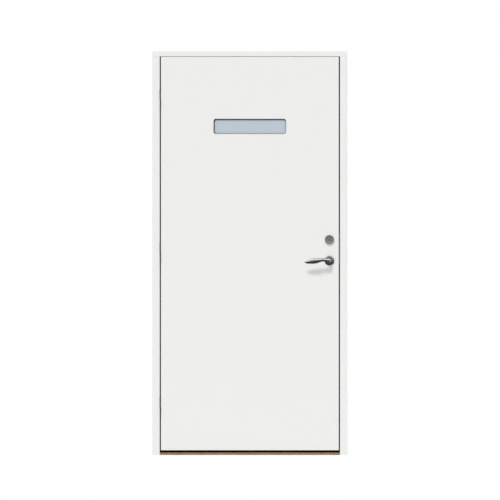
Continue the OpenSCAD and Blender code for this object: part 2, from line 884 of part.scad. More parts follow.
// Latch held back in the case: a head bevelled on the closing side and a flat tail over the follower
module latch_bolt() {
  z0 = handle_z - latch_h / 2;
  tail_z = handle_z + hub_r + 3;
  bevel = latch_throw * 0.75;
  tail_x = [case_x0 + case_wall + 6, case_x1 - latch_throw - 2];
  color(satin_chrome) {
    upright(z0, z0 + latch_h) polygon([
      [bolt_head_x, lock_y - bolt_half_t], [bolt_tip_x, lock_y - bolt_half_t],
      [bolt_tip_x, lock_y + bolt_half_t - bevel], [bolt_tip_x - bevel, lock_y + bolt_half_t],
      [bolt_head_x, lock_y + bolt_half_t]
    ]);
    through_y(lock_y - bolt_half_t, lock_y - layer_gap) {
      translate([tail_x[0], tail_z]) square([tail_x[1] - tail_x[0], tail_h]);
      translate([bolt_head_x, handle_z]) square([tail_x[1] - bolt_head_x, hub_r + 3 + tail_h]);
    }
  }
}

// Deadbolt held back in the case: a plain head and a tail under the cam, notched for the cam's pin
module deadbolt() {
  tail_z = cyl_z - cam_r - 2 - tail_h;
  // The low part of the tail stops short of the head, so that it stays out of the pocket when thrown
  tail_x = [case_x0 + case_wall + 6, min(case_x1 - deadbolt_throw, bolt_head_x) - 2];
  // The pin runs up to 9% of its radius ahead of or behind the bolt's even travel
  side_play = cam_throw * 0.09 + fit_clear;
  notch_x = spindle_x - deadbolt_throw / 2;
  notch_w = 2 * (cam_pin_r + side_play);
  color(satin_chrome) difference() {
    union() {
      block([bolt_head_x, lock_y - bolt_half_t, cyl_z - deadbolt_h / 2],
            [bolt_tip_x, lock_y + bolt_half_t, cyl_z + deadbolt_h / 2]);
      block([tail_x[0], lock_y - bolt_half_t, tail_z],
            [tail_x[1], lock_y - layer_gap, tail_z + tail_h]);
      block([tail_x[1] - tail_h, lock_y - bolt_half_t, cyl_z - deadbolt_h / 2],
            [bolt_head_x + eps, lock_y - layer_gap, tail_z + tail_h]);
    }
    block([notch_x - notch_w / 2, lock_y - case_t, cyl_z - cam_throw - cam_pin_r - 1],
          [notch_x + notch_w / 2, lock_y, cyl_z]);
  }
}

// Hub with an arm and a pin that stands in the deadbolt's notch, a quarter turn from one side to the other
module bolt_cam() {
  color(zinc_steel) difference() {
    union() {
      plate_hub(cyl_z, cam_r, cam_journal_r);
      translate([spindle_x, lock_y, cyl_z]) rotate([0, 45, 0]) translate([0, 0, -cam_throw]) {
        block([-cam_pin_r - 1, layer_gap, -cam_pin_r - 1],
              [cam_pin_r + 1, bolt_half_t - fit_clear, cam_throw]);
        bar_y(0, 0, cam_pin_r, -bolt_half_t, bolt_half_t / 2);
      }
    }
    square_bar(cyl_z, cam_square + 2 * screw_clear, lock_y - case_t, lock_y + case_t);
  }
}

// Handle

// Bearing disc that the through bolts pull against the leaf
module rose_base(y, s, z, r, bore_r) {
  color(zinc_steel) difference() {
    turned_on_face(spindle_x, y, z, s)
      translate([bore_r + turn_clear, 0]) square([r - bore_r - turn_clear, base_t]);
    for (k = [-1, 1])
      bar_y(spindle_x + k * bolt_pitch / 2, z, bolt_r + screw_clear, y - 2 * base_t, y + 2 * base_t);
  }
}

// Turned cap over the base, with a rounded rim and a hole for the neck
module rose_cover(y, s, z, d, h, bore_r) {
  r = d / 2;
  edge = 3;
  inner = r - rose_wall;
  color(satin_chrome) turned_on_face(spindle_x, y, z, s) difference() {
    union() {
      square([r - edge, h]);
      square([r, h - edge]);
      translate([r - edge, h - edge]) circle(r = edge);
    }
    translate([0, -eps]) square([inner, h - rose_wall + eps]);
    translate([0, -eps]) square([bore_r + slide_clear, h + 2 * eps]);
  }
}

module outer_rose_base() {
  rose_base(y_front, -1, handle_z, base_r, neck_d / 2);
}

module inner_rose_base() {
  rose_base(leaf_yb, 1, handle_z, base_r, neck_d / 2);
}

module outer_rose_cover() {
  rose_cover(y_front, -1, handle_z, rose_d, rose_h, neck_d / 2);
}

module inner_rose_cover() {
  rose_cover(leaf_yb, 1, handle_z, rose_d, rose_h, neck_d / 2);
}

module turn_base() {
  rose_base(leaf_yb, 1, cyl_z, turn_base_r, turn_neck_r);
}

module turn_cover() {
  rose_cover(leaf_yb, 1, cyl_z, ring_d, rose_h, turn_neck_r);
}

// Bolts from the inner bases to the outer base and the cylinder ring
module through_bolts() {
  color(zinc_steel) through_bolt_places()
    bar_y(0, 0, bolt_r, y_front - base_t, leaf_yb + base_t);
}

// Grip outline against the share of the lever's length: top and bottom edge, half thickness and bow
grip_top = [[0, 10], [0.17, 12.5], [0.6, 12.5], [0.7, 10], [0.8, 5.5], [0.92, -1], [1, -6.5]];
grip_bottom = [[0, -10], [0.2, -5.5], [0.27, -4.6], [0.33, -5.8], [0.4, -9.5], [0.52, -14.5], [0.64, -16.5],
               [0.85, -16], [0.93, -15], [1, -11]];
grip_half_t = [[0, 10], [0.2, 8], [0.6, 6.5], [0.85, 5], [1, 2]];
grip_bow = [[0, 0], [0.15, 0], [0.3, 2], [0.6, 3], [0.85, 0], [1, -4]];
grip_stations = 30;
grip_sides = 24;
bend_r = lever_out * 0.28;
bend_steps = 7;
// How far the swept grip is rooted in the neck, and how much slimmer it starts there
root_l = 3;
root_k = 0.99;

// Reads an outline with its corners eased by averaging over a short stretch
function eased(table, s) =
  let (d = 0.03)
  (lookup(s - d, table) + lookup(s - d / 2, table) + lookup(s, table)
    + lookup(s + d / 2, table) + lookup(s + d, table)) / 5;

// One oval ring square to the lever's line: x along the grip and out from the leaf give its middle,
// turn is how far the line has turned from out to along, and k shrinks the ring
function grip_ring(x, out, turn, k = 1) =
  let (s = x / lever_l, top = eased(grip_top, s), low = eased(grip_bottom, s), t = eased(grip_half_t, s))
  [for (i = [0:grip_sides - 1])
    let (a = -360 * i / grip_sides, side = k * t * cos(a))
    [-x + side * cos(turn), -out - side * sin(turn), (top + low) / 2 + k * (top - low) / 2 * sin(a)]];

grip_rings = concat(
  [grip_ring(0, lever_out - bend_r - root_l, 0, root_k)],
  [for (i = [0:bend_steps])
    let (a = 90 * i / bend_steps)
    grip_ring(bend_r * (1 - cos(a)), lever_out - bend_r * (1 - sin(a)), a)],
  [for (i = [1:grip_stations])
    let (x = bend_r + (lever_l - bend_r) * i / grip_stations)
    grip_ring(x, lever_out + eased(grip_bow, x / lever_l), 90)],
  [grip_ring(lever_l + 1, lever_out + eased(grip_bow, 1), 90, 0.6)]);

// Lever for a face at y = 0 that looks towards -Y, with its spindle at the origin and its grip towards -X
module lever() {
  n = len(grip_rings);
  color(satin_chrome) difference() {
    union() {
      polyhedron(
        [for (ring = grip_rings) each ring],
        concat(
          [[for (j = [grip_sides - 1:-1:0]) j]],
          [for (i = [0:n - 2], j = [0:grip_sides - 1])
            let (k = (j + 1) % grip_sides)
            [i * grip_sides + j, i * grip_sides + k, (i + 1) * grip_sides + k, (i + 1) * grip_sides + j]],
          [[for (j = [0:grip_sides - 1]) (n - 1) * grip_sides + j]]));
      bar_y(0, 0, neck_d / 2, bend_r + root_l / 2 - lever_out, -slide_clear);
    }
    translate([-spindle_w / 2 - screw_clear, -lever_out * 0.7 - slide_clear, -spindle_w / 2 - screw_clear])
      cube([spindle_w + 2 * screw_clear, lever_out, spindle_w + 2 * screw_clear]);
  }
}

module outer_lever() {
  translate([spindle_x, y_front, handle_z]) lever();
}

module inner_lever() {
  translate([spindle_x, leaf_yb, handle_z]) mirror([0, 1, 0]) lever();
}

// Cylinder

// Turned ring that holds the cylinder's collar against the leaf and takes the two bolts
module cylinder_ring() {
  edge = 4;
  r = ring_d / 2;
  color(satin_chrome) difference() {
    turned_on_face(spindle_x, y_front, cyl_z, -1) difference() {
      union() {
        square([r - edge, ring_h]);
        square([r, ring_h - edge]);
        translate([r - edge, ring_h - edge]) circle(r = edge);
      }
      translate([0, -eps]) square([cyl_d / 2 + slide_clear, ring_h + 2 * eps]);
      translate([0, -eps]) square([collar_r + slide_clear, collar_t + slide_clear + eps]);
    }
    for (k = [-1, 1])
      bar_y(spindle_x + k * bolt_pitch / 2, cyl_z, bolt_r + screw_clear,
        y_front - base_t - slide_clear, y_front + eps);
  }
}

// Barrel from the face of the ring to the lock case, with its collar and the bore of the key plug
module lock_cylinder() {
  y_face = y_front - ring_h + slide_clear;
  color(satin_chrome) difference() {
    union() {
      bar_y(spindle_x, cyl_z, cyl_d / 2, y_face, lock_y - case_t / 2);
      bar_y(spindle_x, cyl_z, collar_r, y_front - collar_t, y_front);
    }
    bar_y(spindle_x, cyl_z, plug_d / 2 + turn_clear, y_face - eps, lock_y);
  }
}

// Plug with the key slot, and a square tail into the cam
module key_plug() {
  y_face = y_front - ring_h - slide_clear;
  y_end = lock_y - case_t / 2 - slide_clear;
  color(satin_chrome) {
    difference() {
      bar_y(spindle_x, cyl_z, plug_d / 2, y_face, y_end);
      block([spindle_x - key_w / 2, y_face - eps, cyl_z - key_h / 2],
            [spindle_x + key_w / 2, y_end - collar_t, cyl_z + key_h / 2]);
    }
    square_bar(cyl_z, cam_square, y_end - slide_clear, lock_y - slide_clear);
  }
}

// Wing on a round neck, with a square tail into the cam
module thumb_turn() {
  wing = [14, 12];
  neck_y = leaf_yb + slide_clear;
  wing_y = leaf_yb + rose_h + 3;
  color(satin_chrome) {
    bar_y(spindle_x, cyl_z, turn_neck_r, neck_y, wing_y + eps);
    through_y(wing_y, wing_y + wing[1])
      rounded_rect([spindle_x - wing[0] / 2, cyl_z - turn_l / 2],
                   [spindle_x + wing[0] / 2, cyl_z + turn_l / 2], wing[0] / 2 - slide_clear);
    square_bar(cyl_z, cam_square, lock_y + slide_clear, neck_y + eps);
  }
}

hinge_jamb();
lock_jamb();
frame_head();
side_stops();
head_stop();
threshold();
side_seals();
seal_head();
seal_threshold();
frame_joint_screws();
fixing_sleeves();
strike_plate();
strike_screws();
lower_hinge_frame_half();
middle_hinge_frame_half();
upper_hinge_frame_half();
hinge_pins();
hinge_frame_screws();
outer_skin();
inner_skin();
leaf_core();
hinge_stile();
lock_stile();
top_rail();
bottom_rail();
window_lining();
outer_pane();
middle_pane();
inner_pane();
glass_spacers();
outer_glazing_gasket();
inner_glazing_gasket();
inner_window_trim();
lock_case();
lock_case_cover();
forend();
forend_screws();
outer_rose_base();
outer_rose_cover();
inner_rose_base();
inner_rose_cover();
through_bolts();
lock_cylinder();
cylinder_ring();
turn_base();
turn_cover();
lower_hinge_leaf_half();
middle_hinge_leaf_half();
upper_hinge_leaf_half();
hinge_leaf_screws();
outer_lever();
inner_lever();
spindle();
follower();
latch_bolt();
deadbolt();
bolt_cam();
thumb_turn();
key_plug();
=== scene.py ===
# %% [markdown]
# # A white front door, seen straight on
#
# This lesson dresses a packed door set for a picture. The CAD model gives every
# board, pane, screw and hinge its place. The cells below give each of them a
# material, and build finer surfaces for the few pieces that the eye rests on: the
# lever handles, the turned roses, the cylinder's collar and the lip round the window.

# %% Load the frame
import json

import bpy
import numpy as np
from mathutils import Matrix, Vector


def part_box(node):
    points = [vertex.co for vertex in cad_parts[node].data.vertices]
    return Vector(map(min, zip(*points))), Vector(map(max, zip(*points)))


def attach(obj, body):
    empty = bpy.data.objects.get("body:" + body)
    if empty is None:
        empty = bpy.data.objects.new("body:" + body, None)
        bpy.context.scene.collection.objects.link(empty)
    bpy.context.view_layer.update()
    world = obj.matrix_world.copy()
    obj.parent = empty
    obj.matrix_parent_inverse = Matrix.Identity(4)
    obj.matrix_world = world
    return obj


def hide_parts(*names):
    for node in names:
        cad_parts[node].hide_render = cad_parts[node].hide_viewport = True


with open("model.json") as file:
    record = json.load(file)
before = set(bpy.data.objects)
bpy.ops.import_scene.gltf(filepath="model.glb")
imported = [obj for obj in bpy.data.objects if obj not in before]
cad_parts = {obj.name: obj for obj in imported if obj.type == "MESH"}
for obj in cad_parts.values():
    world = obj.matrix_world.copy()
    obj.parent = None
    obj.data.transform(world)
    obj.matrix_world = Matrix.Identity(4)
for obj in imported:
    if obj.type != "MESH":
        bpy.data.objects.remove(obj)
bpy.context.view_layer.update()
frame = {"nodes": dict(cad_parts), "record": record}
nodes = frame["nodes"]
print("CAD nodes:", len(nodes))

# %% [markdown]
# ## Colours and shader nodes
#
# Colours are written as the eye reads them, as sRGB hex. Blender's shaders work with
# linear light, so one function turns hex into linear values. Shader nodes could be
# added and linked one by one, but a function that does both lets a material read as
# a short list.

# %% Small helpers for materials


def linear(hex_colour):
    """Linear red, green, blue and an alpha of 1 from an sRGB hex colour."""
    srgb = np.array([int(hex_colour[i : i + 2], 16) for i in (1, 3, 5)]) / 255
    light = np.where(srgb <= 0.04045, srgb / 12.92, ((srgb + 0.055) / 1.055) ** 2.4)
    return (*light.tolist(), 1.0)


def add(tree, kind, links=None, **settings):
    """Adds a node. Settings are values on its inputs, from_min for the input From Min."""
    node = tree.nodes.new("ShaderNode" + kind)
    for name, value in settings.items():
        node.inputs[name.replace("_", " ").title()].default_value = value
    for name, output in (links or {}).items():
        tree.links.new(output, node.inputs[name])
    return node


def new_material(name, colour, roughness, **settings):
    """A material with one Principled shader, and that shader, so that more can be linked to it."""
    material = bpy.data.materials.new(name)
    material.use_nodes = True
    shader = material.node_tree.nodes["Principled BSDF"]
    shader.inputs["Base Color"].default_value = linear(colour)
    shader.inputs["Roughness"].default_value = roughness
    for socket, value in settings.items():
        shader.inputs[socket.replace("_", " ")].default_value = value
    return material, shader


def second_tone(tree, shader, share, tone):
    """Mixes the shader's own colour, where the share is low, with another tone, where it is high."""
    ramp = add(tree, "ValToRGB", {"Fac": share})
    low, high = ramp.color_ramp.elements
    low.position = 0.3
    high.position = 0.7
    low.color = shader.inputs["Base Color"].default_value
    high.color = linear(tone)
    tree.links.new(ramp.outputs["Color"], shader.inputs["Base Color"])


# %% [markdown]
# ## Paint
#
# Leaf and frame are wood under sprayed factory paint, which is nearly flat in colour.
# A flat colour alone would look like plastic. Sprayed paint has a very fine orange
# peel that breaks up the reflections, so a noise raises a slight bump. Object
# coordinates are metres, so a pattern's scale is 1000 divided by its size in mm.

# %% Painted wood
PAINT_WHITE = "#EFEFED"
PEEL_SIZE = 1.11  # mm from one swell of the peel to the next

# Sprayed paint: an even, slightly warm white with a soft sheen
paint, shader = new_material("Painted_wood", PAINT_WHITE, 0.42)
tree = paint.node_tree
where = add(tree, "TexCoord")
peel = add(tree, "TexNoise", {"Vector": where.outputs["Object"]}, scale=1000 / PEEL_SIZE, detail=2.0)
bump = add(tree, "Bump", {"Height": peel.outputs["Fac"]}, strength=0.05, distance=0.0002)
tree.links.new(bump.outputs["Normal"], shader.inputs["Normal"])
print("Painted wood, peel of", PEEL_SIZE, "mm")

# %% [markdown]
# ## Oak
#
# The threshold is a sawn and oiled oak board. Its grain runs along the door's width.
# A picture of wood could be wrapped round it, but a noise that is stretched along X
# needs no picture and fits a board of any length.

# %% Oiled oak
GRAIN_LENGTH = 55.6  # mm along the board
GRAIN_WIDTH = 2.083  # mm across it

# Oiled oak: brown streaks of two tones, and pores that catch a little light
oak, shader = new_material("Oiled_oak", "#7A5C34", 0.5)
tree = oak.node_tree
where = add(tree, "TexCoord")
streaks = (1000 / GRAIN_LENGTH, 1000 / GRAIN_WIDTH, 1000 / GRAIN_WIDTH)
along_board = add(tree, "Mapping", {"Vector": where.outputs["Object"]}, scale=streaks)
grain = add(tree, "TexNoise", {"Vector": along_board.outputs["Vector"]}, scale=1.0, detail=6.0)
second_tone(tree, shader, grain.outputs["Fac"], "#A68C6B")
bump = add(tree, "Bump", {"Height": grain.outputs["Fac"]}, strength=0.15, distance=0.0005)
tree.links.new(bump.outputs["Normal"], shader.inputs["Normal"])
print("Oak, grain of", GRAIN_WIDTH, "by", GRAIN_LENGTH, "mm")

# %% [markdown]
# ## Hidden wood, glass, rubber and metal
#
# The window reads as a flat, pale blue-grey slot, so its panes are satin glass, which
# scatters most of the light and lets a little through. Clear glass would show the
# panes behind it. The metals differ in how sharply they mirror the room, which is
# their roughness: low on the levers and roses, higher on the lock and the fittings.

# %% Pine, foam, glass, rubber and metals
# Planed pine: pale yellow wood with a dull face
pine, _ = new_material("Planed_pine", "#CDAE7D", 0.6)
# Rigid foam: cut cells that look chalky
foam, _ = new_material("Rigid_foam", "#DFD3AB", 0.9)
# Satin glass: etched, so it looks milky and has a broad, soft shine
glass, _ = new_material("Satin_glass", "#C9D5E1", 0.3, Transmission_Weight=0.12, IOR=1.5)
# Moulded rubber: nearly black, with hardly any shine
rubber, _ = new_material("Seal_rubber", "#1E1E1F", 0.75)
# Extruded grey rubber: a soft grey line round the glass
gasket, _ = new_material("Gasket_rubber", "#7C7E81", 0.6)
# Polished chrome: a sharp mirror of the room
polished, _ = new_material("Polished_chrome", "#ECEDED", 0.08, Metallic=1.0)
# Satin chrome: a blurred mirror that reads as an even grey
satin, _ = new_material("Satin_chrome", "#BFBFC0", 0.38, Metallic=0.8)
# Ground steel: paler than chrome in the shade, because it scatters light as well
steel, _ = new_material("Satin_steel", "#CCCCCD", 0.4, Metallic=0.45)
# Zinc-plated steel: a cool, cloudy mirror
zinc, _ = new_material("Bright_zinc", "#AEB1B6", 0.4, Metallic=1.0)
# Rolled metal strip: a dull grey between the panes
spacer, _ = new_material("Spacer_metal", "#8E9094", 0.5, Metallic=1.0)
print("Plain materials:", len(bpy.data.materials))

# %% [markdown]
# ## Fine surface detail
#
# No real surface is even. Planed pine has grain, foam has cells, moulded rubber has a
# fine tooth, zinc has a faint mottle and ground metal has lines. Each could have nodes
# of its own, but they differ only in size and strength, so one function serves all.

# %% Grain, cells, tooth and lines


def surface_detail(material, sizes, rough_span, depth=0.0, tone=None):
    """Noise of the given sizes in mm along X, Y and Z. Roughness runs from its set value minus the span
    to that value plus the span, depth is the bump's height in mm, and tone is a second colour."""
    tree = material.node_tree
    shader = tree.nodes["Principled BSDF"]
    where = add(tree, "TexCoord")
    scale = [1000 / size for size in sizes]
    space = add(tree, "Mapping", {"Vector": where.outputs["Object"]}, scale=scale)
    noise = add(tree, "TexNoise", {"Vector": space.outputs["Vector"]}, scale=1.0, detail=3.0)
    even = shader.inputs["Roughness"].default_value
    ends = {"to_min": even - rough_span, "to_max": even + rough_span}
    rough = add(tree, "MapRange", {"Value": noise.outputs["Fac"]}, **ends)
    tree.links.new(rough.outputs["Result"], shader.inputs["Roughness"])
    if depth:
        bump = add(tree, "Bump", {"Height": noise.outputs["Fac"]}, strength=0.3, distance=depth / 1000)
        tree.links.new(bump.outputs["Normal"], shader.inputs["Normal"])
    if tone:
        second_tone(tree, shader, noise.outputs["Fac"], tone)
    print(material.name, "detail of", sizes, "mm")


# Real tooth and grinding lines are finer, and are drawn this coarse to show
TOOTH = (0.6, 0.6, 0.6)
LINES = (12, 12, 0.8)
surface_detail(pine, (40, 2.5, 40), 0.1, 0.1, "#E2CBA3")
surface_detail(foam, (1.5, 1.5, 1.5), 0.05, 0.3, "#EFE6C8")
surface_detail(zinc, (5, 5, 5), 0.08, tone="#BEC1C6")
surface_detail(rubber, TOOTH, 0.1, 0.03)
surface_detail(gasket, TOOTH, 0.1, 0.03)
surface_detail(steel, LINES, 0.08)
surface_detail(spacer, LINES, 0.08)
surface_detail(satin, LINES, 0.05)
surface_detail(polished, (15, 15, 15), 0.02)
surface_detail(glass, (1, 1, 1), 0.04)

# %% [markdown]
# ## Hinges
#
# A hinge here is two steel plates with a barrel. The plates' edges beside the gap are painted together with
# the wood that they are let into. The barrels, and the plate faces that look into the gap, are coloured dark
# as painted shade, so from the front they are a part of the dark gap. Two materials would need the hinge cut
# in two. One material can tell the part in the gap by its distance from the hinge axis.

# %% Hinge steel, painted white beside the gap, and painted dark as gap shade in it
BARREL_RADIUS = 0.003  # m
pins_low, pins_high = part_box("hinge_pins")

# Hinge steel: white where it is painted, and dark and dull in the gap, which is painted shade
hinge_paint_and_gap_shade, shader = new_material("Dark_hinge_steel", PAINT_WHITE, 0.5)
tree = hinge_paint_and_gap_shade.node_tree
where = add(tree, "TexCoord")
across = add(tree, "SeparateXYZ", {"Vector": where.outputs["Object"]})
# Within the barrel's radius of the axis, in the gap, the colour turns dark: painted shade of the gap
gap_shade = add(tree, "Math", {0: across.outputs["X"]})
gap_shade.operation = "COMPARE"
gap_shade.inputs[1].default_value = (pins_low[0] + pins_high[0]) / 2
gap_shade.inputs[2].default_value = BARREL_RADIUS
second_tone(tree, shader, gap_shade.outputs["Value"], "#3A3B3C")
print("Hinge axis at x, m:", round(gap_shade.inputs[1].default_value, 4))

# %% [markdown]
# ## Materials on the CAD nodes
#
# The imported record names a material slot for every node. One table maps each slot to
# the material made above, which is shorter than setting node after node.

# %% Hand out the materials
by_slot = {
    "painted_wood": paint,
    "oak": oak,
    "pine": pine,
    "insulating_foam": foam,
    "window_glass": glass,
    "seal_rubber": rubber,
    "gasket_rubber": gasket,
    "polished_chrome": polished,
    "satin_chrome": satin,
    "satin_steel": steel,
    "zinc_steel": zinc,
    "spacer_metal": spacer,
    "dark_hinge_steel": hinge_paint_and_gap_shade,
}
for row in frame["record"]["subparts"]:
    mesh = nodes[row["node"]].data
    mesh.materials.clear()
    mesh.materials.append(by_slot[row["material_slot"]])
print("Materials handed out:", len(by_slot))

# %% [markdown]
# ## Grid surfaces
#
# Every new piece is a grid of points: rows run along the piece and columns run round
# it. One function turns such a grid into a closed mesh that is smooth except at clear
# edges. Points are built in millimetres in the door's own frame and stored in metres.

# %% One function from a grid of points to a piece
SHARP_EDGE = np.radians(35)


def grid_piece(name, points, body, slot, stands_for, ring=False):
    """A smooth piece from rows x columns x 3 points in mm. Columns always close on
    themselves. Rows close as well where ring is true, and else the two ends are capped."""
    rows, columns = points.shape[:2]
    here = np.arange(rows * columns).reshape(rows, columns)
    if ring:
        here = np.vstack([here, here[:1]])
    beside = np.roll(here, -1, axis=1)
    quads = np.stack([here[:-1], beside[:-1], beside[1:], here[1:]], axis=-1).reshape(-1, 4)
    caps = [] if ring else [here[0, ::-1].tolist(), here[-1].tolist()]
    mesh = bpy.data.meshes.new(name)
    mesh.from_pydata((points.reshape(-1, 3) / 1000).tolist(), [], quads.tolist() + caps)
    mesh.polygons.foreach_set("use_smooth", np.ones(len(mesh.polygons), bool))
    mesh.set_sharp_from_angle(angle=SHARP_EDGE)
    mesh.materials.append(by_slot[slot])
    piece = bpy.data.objects.new(name, mesh)
    bpy.context.scene.collection.objects.link(piece)
    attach(piece, body)
    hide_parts(stands_for)
    print(name, "quads:", len(quads))


def millimetres(node):
    """Lowest and highest corner of a CAD node, in mm."""
    low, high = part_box(node)
    return np.array(low) * 1000, np.array(high) * 1000


# %% [markdown]
# ## The lever handles
#
# A lever is cast and polished: a round neck that turns a corner and becomes a flat,
# drooping grip. It could be modelled from a box with subdivision, but an oval swept
# along a line follows the real edges more exactly. Short tables give the grip's top
# edge, bottom edge, half depth and bow in mm, against the share of its length.
# Averaging each table over a short stretch rounds off its corners.

# %% Tables of the grip
top_edge = [[0, 10], [0.17, 12.5], [0.6, 12.5], [0.7, 10], [0.8, 5.5], [0.92, -1], [1, -6.5]]
low_edge = [
    [0, -10],
    [0.2, -5.5],
    [0.27, -4.6],
    [0.33, -5.8],
    [0.4, -9.5],
    [0.52, -14.5],
    [0.64, -16.5],
    [0.85, -16],
    [0.93, -15],
    [1, -11],
]
half_depth = [[0, 10], [0.2, 8], [0.6, 6.5], [0.85, 5], [1, 2]]
bow = [[0, 0], [0.15, 0], [0.3, 2], [0.6, 3], [0.85, 0], [1, -4]]
EASE = 0.03  # half of the stretch, as a share of the grip


def eased(table, share):
    """Straight-line lookup, averaged over nine places from EASE before to EASE after the share."""
    at, value = np.array(table, float).T
    stretch = np.linspace(-EASE, EASE, 9)
    return np.interp(share[:, None] + stretch, at, value).mean(axis=1)


print("Points in the grip's tables:", [len(table) for table in (top_edge, low_edge, half_depth, bow)])

# %% [markdown]
# The line has four parts: the straight neck, the bend, the grip, and a last few rings
# that shrink to close the tip. Each ring lies square to the neck and the bend. Its half
# depth points to the outside of the bend and its height points up.

# %% Sweep the lever
GRIP_LENGTH = 127.0  # mm from the spindle to the start of the tip's rounding
REACH = 50.0  # from the door's face to the middle of the grip
BEND = 14.0  # radius of the bend
NECK_START = 0.4  # from the door's face to the first ring
STEP = 1.0  # from the neck to the bend, and from the bend to the grip
TIP_LENGTH = 1.0  # how far the rounding stands out
TIP_ANGLE = 0.05  # where the rounding stops, just before it would be a point
NECK_RINGS, BEND_RINGS, GRIP_RINGS, TIP_RINGS = 6, 25, 110, 9
RING_POINTS = 72


def lever_rings():
    """Rings of the lever as rows of points, for a door face at y = 0 that looks towards -Y. A point is
    the line's point, plus the half depth times a cosine towards the outside of the bend, plus the half
    height times a sine upwards."""
    neck = np.zeros(NECK_RINGS)
    bend = np.linspace(0, np.pi / 2, BEND_RINGS)
    grip = np.linspace(BEND + STEP, GRIP_LENGTH, GRIP_RINGS, endpoint=False)
    close = np.sin(np.linspace(np.pi / 2, TIP_ANGLE, TIP_RINGS))
    tip = GRIP_LENGTH + TIP_LENGTH * np.sqrt(1 - close**2)
    turn = np.concatenate([neck, bend, np.full(GRIP_RINGS + TIP_RINGS, np.pi / 2)])
    along = np.concatenate([neck, BEND * (1 - np.cos(bend)), grip, tip])
    share = along / GRIP_LENGTH
    rise = np.linspace(NECK_START, REACH - BEND - STEP, NECK_RINGS)
    bowed = REACH + eased(bow, share[NECK_RINGS + BEND_RINGS :])
    out = np.concatenate([rise, REACH - BEND * (1 - np.sin(bend)), bowed])
    shrink = np.concatenate([np.ones(len(along) - TIP_RINGS), close])
    top, low = eased(top_edge, share), eased(low_edge, share)
    angle = np.linspace(0, 2 * np.pi, RING_POINTS, endpoint=False)
    side = np.outer(shrink * eased(half_depth, share), np.cos(angle))
    x = -along[:, None] + side * np.cos(turn)[:, None]
    y = -out[:, None] - side * np.sin(turn)[:, None]
    z = ((top + low) / 2)[:, None] + np.outer(shrink * (top - low) / 2, np.sin(angle))
    return np.stack([x, y, z], axis=-1)


rings = lever_rings()
print("Lever rings and points:", rings.shape[:2])

# %% [markdown]
# The same rings serve both sides of the door. The inner lever is their mirror image,
# which would turn its faces inwards, so its columns run the other way round.

# %% Set the levers on the spindle
spindle_low, spindle_high = millimetres("spindle")
axis_x, axis_z = (spindle_low + spindle_high)[[0, 2]] / 2
front_y = millimetres("outer_skin")[0][1]
back_y = millimetres("inner_skin")[1][1]
outer = rings + np.array([axis_x, front_y, axis_z])
inner = rings * np.array([1, -1, 1]) + np.array([axis_x, back_y, axis_z])
grid_piece("outer_lever_grip", outer, "lever_set", "polished_chrome", "outer_lever")
grid_piece("inner_lever_grip", inner[:, ::-1], "lever_set", "polished_chrome", "inner_lever")

# %% [markdown]
# ## Turned roses and the cylinder's collar
#
# Roses and collar are turned on a lathe, so each is a profile of radius and height
# carried round an axis. Blender's Spin tool could do this too, but whole arrays keep
# the points in order. On its hidden side each cover is closed by a flat underside and
# an upright wall, so that its mesh is a closed solid.

# %% Turn a profile round an axis along Y
TURN_POINTS = 128
EDGE_POINTS = 13
COVER_WALL = 1.0  # mm


def turned(profile, centre_x, face_y, centre_z, out):
    """Points of (radius, height) pairs turned round an axis along Y: x is the centre plus radius times
    cosine, z the centre plus radius times sine, and y the face plus height towards the side out."""
    radius, height = np.array(profile, float).T[:, :, None]
    angle = np.linspace(0, 2 * np.pi, TURN_POINTS, endpoint=False)[None, :]
    x = centre_x + radius * np.cos(angle)
    z = centre_z + radius * np.sin(angle)
    y = face_y + out * height + 0 * angle
    points = np.stack([x, y, z], axis=-1)
    return points if out < 0 else points[:, ::-1]


def round_edge(radius, height, edge):
    """Quarter circle from an upright wall to a flat top, with the given rounding."""
    angle = np.linspace(0, np.pi / 2, EDGE_POINTS)
    across = radius - edge + edge * np.cos(angle)
    up = height - edge + edge * np.sin(angle)
    return np.stack([across, up], axis=1).tolist()


def cover(radius, edge, top):
    """Closed profile of a cover: its foot, its rounded edge, the points of its top, and its hidden side."""
    inside = radius - COVER_WALL
    return [[radius, 0], *edge, *top, [inside, top[-1][1]], [inside, 0]]


# %% [markdown]
# A rose has a round rim and a low crown that rises towards the neck. The crown tilts
# the mirror a little, so its upper half shows the brighter room and its lower half
# the dark floor, as in the photo. A flat disc would show one tone.

# %% Roses
RIM = 3.0  # mm, rounding of the edge
CROWN = 0.8  # rise from the rim to the neck
NECK_HOLE = 10.4  # radius of the hole that the lever's neck passes
HOLE_DEPTH = 3.0
HOLE_TAPER = 0.1

rose_low, rose_high = millimetres("outer_rose_cover")
rose_size = rose_high - rose_low
rose_radius, rose_height = rose_size[0] / 2, rose_size[1]
span = np.linspace(1, 0, 9)[1:]
crown_radius = NECK_HOLE + span * (rose_radius - RIM - NECK_HOLE)
crown = np.stack([crown_radius, rose_height - CROWN * span**2], axis=1).tolist()
hole = [NECK_HOLE - HOLE_TAPER, rose_height - HOLE_DEPTH]
rose = cover(rose_radius, round_edge(rose_radius, rose_height - CROWN, RIM), [*crown, hole])
for name, face_y, out in (("outer_rose", front_y, -1), ("inner_rose", back_y, 1)):
    points = turned(rose, axis_x, face_y, axis_z, out)
    grid_piece(name, points, "leaf", "polished_chrome", name + "_cover", ring=True)

# %% [markdown]
# The cylinder's collar is a flat ring with a rounded edge. Its top falls gently to a
# fine step round the key, which draws a thin line there.

# %% Collar
COLLAR_EDGE = 1.2  # mm, rounding of the edge
COLLAR_TOP = [[19.5, 0], [14.8, 0.15], [14.4, 0.4], [14.3, 4]]  # radius, and drop from the top

